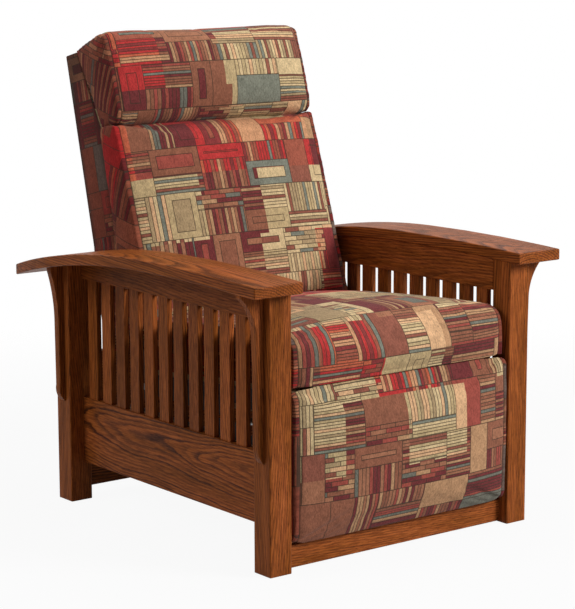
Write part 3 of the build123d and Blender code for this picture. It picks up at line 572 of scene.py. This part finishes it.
def layGrain(mesh, board):
    # every board gets its own stretch of log: along the grain, across the face and into the board
    points, island = pointsOf(mesh), islandsOf(mesh)
    along, deep = "xyz".index(board["grain"]), "xyz".index(board["face"])
    across = 3 - along - deep
    place = np.zeros_like(points)
    tone = np.ones(len(points))
    rng = np.random.default_rng(board["seed"])
    for n in range(island.max() + 1):
        at = island == n
        local = points[at] - (points[at].min(0) + points[at].max(0)) / 2
        lift = rng.uniform(*logSpread["lift"])
        lean = rng.uniform(*logSpread["lean"]) * rng.choice((-1, 1))
        aside = rng.uniform(*logSpread["aside"]) + board.get("aside", 0.0) * rng.choice((-1, 1))
        place[at, 0] = local[:, along] + rng.uniform(*logSpread["apart"])
        place[at, 1] = local[:, across] + aside
        place[at, 2] = local[:, deep] + lift + lean * local[:, along]
        tone[at] = rng.uniform(1 - board["tones"], 1 + board["tones"])
    keep(mesh, "grainPlace", place)
    keep(mesh, "boardTone", tone)


legBoard = {"body": "frame", "grain": "z", "face": "y", "ease": 0.0012, "aside": 0.09, "tones": 0.06}
railBoard = {"body": "frame", "grain": "y", "face": "x", "ease": 0.0015, "tones": 0.06}
armBoard = {"body": "frame", "grain": "y", "face": "z", "ease": 0.003, "aside": 0.05, "tones": 0.04}
slatBoard = {"body": "frame", "grain": "z", "face": "x", "ease": 0.001, "aside": 0.09, "tones": 0.24}
corbelBoard = {"body": "frame", "grain": "z", "face": "y", "ease": 0.002, "aside": 0.09, "tones": 0.06}
crossBoard = {"body": "frame", "grain": "x", "face": "y", "ease": 0.0015, "tones": 0.06}
seatBoard = {"body": "seat", "grain": "y", "face": "x", "ease": 0.001, "tones": 0.08}
backBoard = {"body": "back", "grain": "x", "face": "y", "ease": 0.001, "tones": 0.08}
armBoards = {"arm_left": {**armBoard, "seed": 3}, "arm_right": {**armBoard, "seed": 4}}
flatOakBoards = {
    "side_rail_left": {**railBoard, "seed": 11}, "side_rail_right": {**railBoard, "seed": 12},
    "rear_rail": {**crossBoard, "seed": 20},
}
straightOakBoards = {
    "front_rail": {**crossBoard, "aside": 0.09, "seed": 19},
    "front_leg_left": {**legBoard, "seed": 5}, "front_leg_right": {**legBoard, "seed": 6},
    "rear_leg_left": {**legBoard, "seed": 7}, "rear_leg_right": {**legBoard, "seed": 8},
    "arm_rail_left": {**railBoard, "aside": 0.07, "seed": 9},
    "arm_rail_right": {**railBoard, "aside": 0.07, "seed": 10},
    "slats_left": {**slatBoard, "seed": 13}, "slats_right": {**slatBoard, "seed": 14},
    "front_corbel_left": {**corbelBoard, "seed": 15}, "front_corbel_right": {**corbelBoard, "seed": 16},
    "rear_corbel_left": {**corbelBoard, "seed": 17}, "rear_corbel_right": {**corbelBoard, "seed": 18},
}
hiddenBoards = {
    "runner_left": {**railBoard, "seed": 21}, "runner_right": {**railBoard, "seed": 22},
    "seat_side_board_left": {**seatBoard, "seed": 23}, "seat_side_board_right": {**seatBoard, "seed": 24},
    "seat_cross_boards": {**seatBoard, "grain": "x", "face": "y", "seed": 25},
    "footrest_board": {**crossBoard, "body": "footrest", "seed": 26},
    "back_stile_left": {**backBoard, "grain": "z", "face": "x", "seed": 27},
    "back_stile_right": {**backBoard, "grain": "z", "face": "x", "seed": 28},
    "back_bottom_rail": {**backBoard, "seed": 29}, "back_middle_rail": {**backBoard, "seed": 30},
    "back_top_rail": {**backBoard, "seed": 31},
}


def dressTimber(boards, material):
    for nodeName, board in boards.items():
        shape = startFrom(nodeName)
        easeEdges(shape, board["ease"])
        words = nodeName.split("_")
        name = words[0] + "".join(word.capitalize() for word in words[1:])
        piece = newPiece(shape, name, material, board["body"], [nodeName])
        layGrain(piece.data, board)
        piece.data.set_sharp_from_angle(angle=creaseAngle)
        even = piece.modifiers.new("evenShading", "WEIGHTED_NORMAL")
        even.keep_sharp = True


dressTimber(armBoards, armOak)
dressTimber(flatOakBoards, flatOak)
dressTimber(straightOakBoards, straightOak)
dressTimber(hiddenBoards, plainHardwood)
print("timber dressed")


# Steel stays the CAD's own, with its finish
for nodeName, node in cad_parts.items():
    if any(word in nodeName for word in ("link", "plate", "bracket", "rod", "studs")):
        bright = "studs" in nodeName or "rod" in nodeName
        node.data.materials.clear()
        node.data.materials.append(zincSteel if bright else blackSteel)
print("mechanism finished")


# Soft pieces. coverLook holds what all cushions share: the cloth simulation, how squarely a face has to lie
# on its board to be held, the weight of the less square ones, and the seams and pattern of the sides.
coverLook = {
    "quality": 5, "mass": 0.3, "shear": 5, "bending": 0.6, "frames": 20,
    "restingFrom": 0.93, "grippedFrom": 0.35, "grip": 0.8,
    "sideFrom": 0.75, "sideFade": 6, "rippleWidth": 0.03, "sidePattern": (1.37, 3.1),
}


def bakeModifiers(piece):
    bpy.context.view_layer.update()
    graph = bpy.context.evaluated_depsgraph_get()
    mesh = bpy.data.meshes.new_from_object(piece.evaluated_get(graph))
    piece.modifiers.clear()
    piece.data = mesh


def evenCopy(nodeName, name, voxel):
    shape = weldedCopy(nodeName)
    mesh = bpy.data.meshes.new(name)
    shape.to_mesh(mesh)
    shape.free()
    piece = bpy.data.objects.new(name, mesh)
    scene.collection.objects.link(piece)
    remesh = piece.modifiers.new("evenMesh", "REMESH")
    remesh.mode = "VOXEL"
    remesh.voxel_size = voxel
    bakeModifiers(piece)
    return piece


def inflate(piece, pad, held):
    # a short cloth simulation blows the cover up round its filling, and the held points stay where they lie
    rest = pointsOf(piece.data).copy()
    group = piece.vertex_groups.new(name="held")
    for weight in np.unique(held):
        if weight > 0:
            group.add(np.flatnonzero(held == weight).tolist(), float(weight), "REPLACE")
    cloth = piece.modifiers.new("Cloth", "CLOTH")
    options = cloth.settings
    options.quality = coverLook["quality"]
    options.mass = coverLook["mass"]
    options.tension_stiffness = options.compression_stiffness = pad["stiffness"]
    options.shear_stiffness = coverLook["shear"]
    options.bending_stiffness = coverLook["bending"]
    options.use_pressure = True
    options.uniform_pressure_force = pad["pressure"]
    options.vertex_group_mass = "held"
    options.effector_weights.gravity = 0
    cloth.collision_settings.use_collision = False
    cloth.point_cache.frame_start = 1
    cloth.point_cache.frame_end = coverLook["frames"]
    for step in range(1, coverLook["frames"] + 1):
        scene.frame_set(step)
    bakeModifiers(piece)
    scene.frame_set(1)
    piece.vertex_groups.clear()
    moved = pointsOf(piece.data) - rest
    size = np.linalg.norm(moved, axis=1, keepdims=True) + 1e-9
    movePoints(piece.data, rest + moved / size * pad["cap"] * np.tanh(size / pad["cap"]))


def letOut(piece, solid, pad):
    # pressure draws the ends of a cover in, so it is let out to its solid's width and length again,
    # and its front is brought to a set swell in front of the solid
    points = pointsOf(piece.data)
    steps = [((1, 0, 0), pad["wider"], pad["wider"]), (pad["lengthWay"], pad["longer"], pad["proud"]),
             (pad["frontWay"], 0.0, pad["swell"])]
    for direction, behind, before in steps:
        way = np.array(direction, dtype=float)
        now, wanted = points @ way, solid @ way
        low, high = wanted.min() - behind, wanted.max() + before
        share = (now - now.min()) / (now.max() - now.min())
        points += (low + share * (high - low) - now)[:, None] * way
    movePoints(piece.data, points)


def alongOutline(points, outline):
    # how far along a side-view outline (Y, Z) the nearest place to each point lies
    start = np.array(outline[:-1])
    step = np.array(outline[1:]) - start
    length = np.linalg.norm(step, axis=1)
    before = np.concatenate([[0], np.cumsum(length)[:-1]])
    offset = points[:, None, 1:] - start[None]
    share = np.clip((offset * step).sum(-1) / length ** 2, 0, 1)
    gap = np.linalg.norm(offset - share[..., None] * step, axis=2)
    best = gap.argmin(1)
    return before[best] + share[np.arange(len(points)), best] * length[best]


def sewCover(piece, pad):
    # seams along both sides, drawn in a little, and the places that the woven pattern reads
    mesh = piece.data
    points, normals = pointsOf(mesh), normalsOf(mesh)
    seam = np.abs(points[:, 0]) - pad["seamAt"]
    depth = pad["seamDepth"] * np.exp(-(seam / pad["seamWidth"]) ** 2)
    sidewise = (np.abs(normals[:, 0]) - coverLook["sideFrom"]) * coverLook["sideFade"]
    depth = depth * (1 - np.clip(sidewise, 0, 1))
    ripple = np.array([noise.noise(Vector(p) * pad["rippleScale"]) for p in points])
    ripple = ripple * pad["ripple"] * np.exp(-(seam / coverLook["rippleWidth"]) ** 2)
    points = points - normals * (depth + ripple)[:, None]
    movePoints(mesh, points)
    tilt = math.radians(pad["tilt"])
    y = points[:, 1] * math.cos(tilt) - points[:, 2] * math.sin(tilt)
    z = points[:, 1] * math.sin(tilt) + points[:, 2] * math.cos(tilt)
    around = alongOutline(points, pad["outline"])
    keep(mesh, "clothFront", np.stack([points[:, 0], around, np.zeros(len(points))], 1))
    apart, above = coverLook["sidePattern"]
    sideways = y + np.sign(points[:, 0]) * apart
    keep(mesh, "clothSide", np.stack([sideways, z + above, np.zeros(len(points))], 1))
    keep(mesh, "seamSide", seam)


def makeCushion(nodeName, name, body, pad):
    piece = evenCopy(nodeName, name, pad["voxel"])
    mesh = piece.data
    shape = bmesh.new()
    shape.from_mesh(mesh)
    for _ in range(pad["soften"]):
        bmesh.ops.smooth_vert(shape, verts=shape.verts, factor=0.5, use_axis_x=True, use_axis_y=True,
                              use_axis_z=True)
    shape.to_mesh(mesh)
    shape.free()
    points, normals = pointsOf(mesh), normalsOf(mesh)
    flat = np.zeros(len(points))
    for direction in pad["restsOn"]:
        flat = np.maximum(flat, normals @ np.array(direction) / np.linalg.norm(direction))
    resting = flat > coverLook["restingFrom"]
    points = points - normals * (pad["shrink"] * (1 - resting))[:, None]
    movePoints(mesh, points)
    seam = np.abs(np.abs(points[:, 0]) - pad["seamAt"])
    held = np.where(seam < pad["voxel"], pad["seamHold"], 0.0)
    held = np.where(flat > coverLook["grippedFrom"], coverLook["grip"], held)
    held = np.where(resting, 1.0, held)
    inflate(piece, pad, held)
    letOut(piece, pointsOf(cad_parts[nodeName].data), pad)
    sewCover(piece, pad)
    finishPiece(piece, makeTapestry(name + "Cloth", pad["seed"]), body, [nodeName])
    fine = piece.modifiers.new("fineCloth", "SUBSURF")
    fine.levels = fine.render_levels = 1
    print(name, "made,", len(piece.data.vertices), "points")


seatPad = {
    "voxel": 0.006, "soften": 3, "shrink": 0.007, "cap": 0.022, "pressure": 4, "stiffness": 15,
    "seamAt": 0.282, "seamDepth": 0.003, "seamWidth": 0.005, "seamHold": 0.4,
    "rippleScale": 24, "ripple": 0.0015, "restsOn": [(0, -0.082, -0.997)],
    "frontWay": (0, 0.0819, 0.9966), "swell": 0.006, "wider": 0.004,
    "lengthWay": (0, 0.9966, -0.0819), "longer": 0.018, "proud": 0.001,
    "tilt": -4.7, "fill": 0.75, "seed": 2.0,
    "outline": [(0.05, 0.33), (-0.40, 0.386), (-0.434, 0.39), (-0.440, 0.46), (-0.430, 0.492),
                (-0.402, 0.508), (-0.36, 0.516), (-0.20, 0.505), (0.07, 0.474), (0.08, 0.36)],
}
makeCushion("seat_cushion", "seatCushion", "seat", seatPad)

footPad = {
    "voxel": 0.005, "soften": 3, "shrink": 0.004, "cap": 0.016, "pressure": 4, "stiffness": 15,
    "seamAt": 0.288, "seamDepth": 0.0025, "seamWidth": 0.004, "seamHold": 0.4,
    "rippleScale": 26, "ripple": 0.001, "restsOn": [(0, 1, 0)],
    "frontWay": (0, -1, 0), "swell": 0.006, "wider": 0.002,
    "lengthWay": (0, 0, 1), "longer": 0.002, "proud": 0.002,
    "tilt": 0, "fill": 0.6, "seed": 5.0,
    "outline": [(-0.431, 0.058), (-0.452, 0.06), (-0.462, 0.09), (-0.466, 0.22), (-0.462, 0.36),
                (-0.452, 0.384), (-0.431, 0.386)],
}
makeCushion("footrest_pad", "footrestPad", "footrest", footPad)

backPad = {
    "voxel": 0.006, "soften": 1, "shrink": 0.003, "cap": 0.022, "pressure": 6, "stiffness": 12,
    "seamAt": 0.274, "seamDepth": 0.003, "seamWidth": 0.005, "seamHold": 0.4,
    "rippleScale": 24, "ripple": 0.0015, "restsOn": [(0, 0.972, -0.235)],
    "frontWay": (0, -0.972, 0.2351), "swell": 0.008, "wider": 0.008,
    "lengthWay": (0, 0.2351, 0.9720), "longer": 0.003, "proud": 0.003,
    "tilt": -13.6, "fill": 0.75, "seed": 9.0,
    "outline": [(0.18, 0.40), (0.065, 0.447), (0.062, 0.49), (0.115, 0.62), (0.148, 0.72), (0.185, 0.82),
                (0.205, 0.875), (0.225, 0.893), (0.30, 0.872)],
}
makeCushion("back_cushion", "backCushion", "back", backPad)

pillowPad = {
    "voxel": 0.006, "soften": 1, "shrink": 0.001, "cap": 0.022, "pressure": 9, "stiffness": 10,
    "seamAt": 0.268, "seamDepth": 0.003, "seamWidth": 0.005, "seamHold": 0.4,
    "rippleScale": 24, "ripple": 0.0015, "restsOn": [(0, 0.90, -0.43), (0, 0.972, -0.235)],
    "frontWay": (0, -0.972, 0.2351), "swell": 0.008, "wider": 0.008,
    "lengthWay": (0, 0.2351, 0.9720), "longer": 0.006, "proud": 0.0035,
    "tilt": -13.6, "fill": 0.8, "seed": 14.0,
    "outline": [(0.30, 0.876), (0.23, 0.89), (0.213, 0.905), (0.214, 0.94), (0.232, 1.0), (0.252, 1.06),
                (0.27, 1.084), (0.30, 1.09), (0.40, 1.055)],
}
makeCushion("head_pillow", "headPillow", "back", pillowPad)


# The upholstered outside of the back: thin wadding under cloth, full in the middle of each face, with a foot
# that flares and a tail that hangs below it. foot, flareTo and flareFade are shares of its height.
backShell = {
    "tilt": 13.6, "heel": (0.2905, 0.390), "height": 0.66, "half": 0.268, "deep": 0.104, "skin": 0.0008,
    "step": 0.03, "cuts": {"up": 22, "sideways": 9, "forward": 4}, "ease": 0.003, "easeAngle": 50,
    "rearBulge": 0.007, "bulgeShape": 0.6, "sideBulge": 0.003, "widen": 0.010,
    "flare": 0.008, "flareTo": 0.31, "flareFade": 0.1, "skirt": 0.034, "foot": 0.001, "tailDepth": 0.007,
    "seamAt": 0.2775, "turnIn": 0.1, "frontPattern": 5.2, "sidePattern": (2.21, 7.3),
    "seed": 21.0, "fill": 0.4,
}


def makeBackShell(pad):
    shape = startFrom("back_cover")
    tilt = math.radians(pad["tilt"])
    up = Vector((0, math.sin(tilt), math.cos(tilt)))
    forward = Vector((0, -math.cos(tilt), math.sin(tilt)))
    heel = Vector((0, *pad["heel"]))
    cuts = pad["cuts"]
    for n in range(1, cuts["up"]):
        cutAcross(shape, heel + up * n * pad["step"], up)
    for n in range(1 - cuts["sideways"], cuts["sideways"]):
        cutAcross(shape, (n * pad["step"], 0, 0), (1, 0, 0))
    for n in range(1, cuts["forward"]):
        cutAcross(shape, heel + forward * n * pad["step"], forward)
    shape.normal_update()
    for vert in shape.verts:
        rise = (vert.co - heel).dot(up) / pad["height"]
        depth = (vert.co - heel).dot(forward)
        swell = max(0.0, math.sin(math.pi * min(max(rise, 0), 1)))
        if rise < pad["foot"] and depth < pad["tailDepth"]:
            vert.co -= up * pad["skirt"]
        if abs(vert.co.x) > pad["half"] - pad["skin"]:
            full = swell * math.sin(math.pi * min(depth / pad["deep"], 1.0))
            foot = min(max((pad["flareTo"] - rise) / pad["flareFade"], 0.0), 1.0)
            out = pad["widen"] + pad["sideBulge"] * full + pad["flare"] * foot
            vert.co.x += math.copysign(out, vert.co.x)
        elif depth < pad["skin"]:
            middling = max(0.0, math.cos(vert.co.x / pad["half"] * math.pi / 2))
            vert.co -= forward * pad["rearBulge"] * (swell * middling) ** pad["bulgeShape"]
    easeEdges(shape, pad["ease"], segments=3, angle=pad["easeAngle"])
    piece = newPiece(shape, "backCover", makeTapestry("backCoverCloth", pad["seed"]), "back", ["back_cover"])

    # the woven pattern runs up the rear and over the top, and the sides read their own stretch of it
    mesh = piece.data
    points = pointsOf(mesh)
    top = heel + up * pad["height"]
    corners = [heel + up * -pad["turnIn"], heel, top, top + forward * pad["turnIn"]]
    around = alongOutline(points, [tuple(corner.yz) for corner in corners])
    level = np.zeros(len(points))
    keep(mesh, "clothFront", np.stack([points[:, 0] + pad["frontPattern"], around, level], 1))
    offset = points - np.array(heel)
    apart, above = pad["sidePattern"]
    sideways = offset @ np.array(forward) + np.sign(points[:, 0]) * apart
    keep(mesh, "clothSide", np.stack([sideways, offset @ np.array(up) + above, level], 1))
    keep(mesh, "seamSide", np.abs(points[:, 0]) - pad["seamAt"])


makeBackShell(backShell)
print("back cover made")


# Webbing: straps that sag a little between their boards
straps = {
    "seat_webbing": {"body": "seat", "way": (0, 1, 0), "down": (0, 0.082, -0.997), "bays": 2, "step": 0.03,
                     "sag": 0.003},
    "back_webbing": {"body": "back", "way": (1, 0, 0), "down": (0, 0.972, -0.235), "bays": 1, "step": 0.03,
                     "sag": 0.003},
}


def makeStraps(nodeName, name, strap):
    shape = startFrom(nodeName)
    low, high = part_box(nodeName)
    way, down = Vector(strap["way"]), Vector(strap["down"])
    start, end = low.dot(way), high.dot(way)
    count = int((end - start) / strap["step"])
    for n in range(1, count):
        cutAcross(shape, way * (start + n * (end - start) / count), way)
    for vert in shape.verts:
        share = (vert.co.dot(way) - start) / (end - start)
        inside = max(0.0, math.sin(math.pi * ((share * strap["bays"]) % 1.0)))
        vert.co += down * strap["sag"] * inside
    piece = newPiece(shape, name, webbing, strap["body"], [nodeName])
    piece.data.set_sharp_from_angle(angle=creaseAngle)


makeStraps("seat_webbing", "seatStraps", straps["seat_webbing"])
makeStraps("back_webbing", "backStraps", straps["back_webbing"])
print("webbing made")


# Floor, light and camera
floorLook = {"color": (0.55, 0.55, 0.55, 1), "cameraShare": 0.93, "solidTo": 1.1, "goneAt": 2.6,
             "radius": 3.0, "corners": 64, "drop": 0.0003}
floorShape = bmesh.new()
bmesh.ops.create_circle(floorShape, cap_ends=True, segments=floorLook["corners"], radius=floorLook["radius"])
floorMesh = bpy.data.meshes.new("floor")
floorShape.to_mesh(floorMesh)
floorShape.free()
floor = bpy.data.objects.new("floor", floorMesh)
floor.location.z = -floorLook["drop"]
scene.collection.objects.link(floor)

# the floor looks white and fades out, but gives the chair only a mid grey's light back
floorMaterial = bpy.data.materials.new("paleFloor")
floorMaterial.use_nodes = True
floorTree = floorMaterial.node_tree
floorTree.nodes.clear()
outlet = floorTree.nodes.new("ShaderNodeOutputMaterial")
rays = floorTree.nodes.new("ShaderNodeLightPath")
diffuse = floorTree.nodes.new("ShaderNodeBsdfDiffuse")
diffuse.inputs["Color"].default_value = floorLook["color"]
glow = floorTree.nodes.new("ShaderNodeEmission")
clear = floorTree.nodes.new("ShaderNodeBsdfTransparent")
lit = floorTree.nodes.new("ShaderNodeMixShader")
fade = floorTree.nodes.new("ShaderNodeMixShader")
seen = calc(floorTree, "MAXIMUM", rays.outputs["Is Camera Ray"], rays.outputs["Is Glossy Ray"])
wire(floorTree, calc(floorTree, "MULTIPLY", seen, floorLook["cameraShare"]), lit.inputs[0])
floorTree.links.new(diffuse.outputs[0], lit.inputs[1])
floorTree.links.new(glow.outputs[0], lit.inputs[2])
away = floorTree.nodes.new("ShaderNodeVectorMath")
away.operation = "LENGTH"
floorTree.links.new(floorTree.nodes.new("ShaderNodeTexCoord").outputs["Object"], away.inputs[0])
clearness = spread(floorTree, away.outputs["Value"], floorLook["solidTo"], floorLook["goneAt"])
wire(floorTree, clearness, fade.inputs[0])
floorTree.links.new(lit.outputs[0], fade.inputs[1])
floorTree.links.new(clear.outputs[0], fade.inputs[2])
floorTree.links.new(fade.outputs[0], outlet.inputs[0])
floorMesh.materials.append(floorMaterial)

# the backdrop is white to the camera and in reflections, and dim as a light
worldLevel = 0.095
world = bpy.data.worlds.new("studio")
scene.world = world
world.use_nodes = True
worldTree = world.node_tree
worldRays = worldTree.nodes.new("ShaderNodeLightPath")
backdrop = worldTree.nodes["Background"]
mirrored = calc(worldTree, "MAXIMUM", worldRays.outputs["Is Glossy Ray"],
                worldRays.outputs["Is Transmission Ray"])
shown = calc(worldTree, "MAXIMUM", worldRays.outputs["Is Camera Ray"], mirrored)
backdrop.inputs["Color"].default_value = (1, 1, 1, 1)
brightness = calc(worldTree, "MULTIPLY_ADD", shown, 1 - worldLevel, worldLevel)
wire(worldTree, brightness, backdrop.inputs["Strength"])

lamps = {
    "keyLamp": {"place": (2.2, -3.6, 2.5), "aim": (0, 0, 0.45), "size": 1.5, "power": 208},
    "sideLamp": {"place": (-3.1, 1.0, 2.5), "aim": (0, 0, 0.4), "size": 1.4, "power": 42},
    "topLamp": {"place": (0.2, 0.2, 3.6), "aim": (0, 0, 0.4), "size": 2.4, "power": 50},
}
for name, lamp in lamps.items():
    data = bpy.data.lights.new(name, "AREA")
    data.shape = "SQUARE"
    data.size = lamp["size"]
    data.energy = lamp["power"]
    light = bpy.data.objects.new(name, data)
    light.location = lamp["place"]
    light.rotation_euler = (Vector(lamp["aim"]) - light.location).to_track_quat("-Z", "Y").to_euler()
    scene.collection.objects.link(light)

view = {"place": (-2.9620, -3.8769, 1.3348), "aim": (-0.0850, -0.1485, 0.5043), "roll": -0.165,
        "lens": 127.69, "sensor": 36}
cameraData = bpy.data.cameras.new("photoCamera")
cameraData.lens = view["lens"]
cameraData.sensor_width = view["sensor"]
camera = bpy.data.objects.new("photoCamera", cameraData)
camera.location = view["place"]
turn = (Vector(view["aim"]) - camera.location).to_track_quat("-Z", "Y")
camera.rotation_mode = "QUATERNION"
camera.rotation_quaternion = turn @ Matrix.Rotation(math.radians(view["roll"]), 4, "Z").to_quaternion()
scene.collection.objects.link(camera)
scene.camera = camera
scene.view_settings.view_transform = "Standard"
print("stage set")
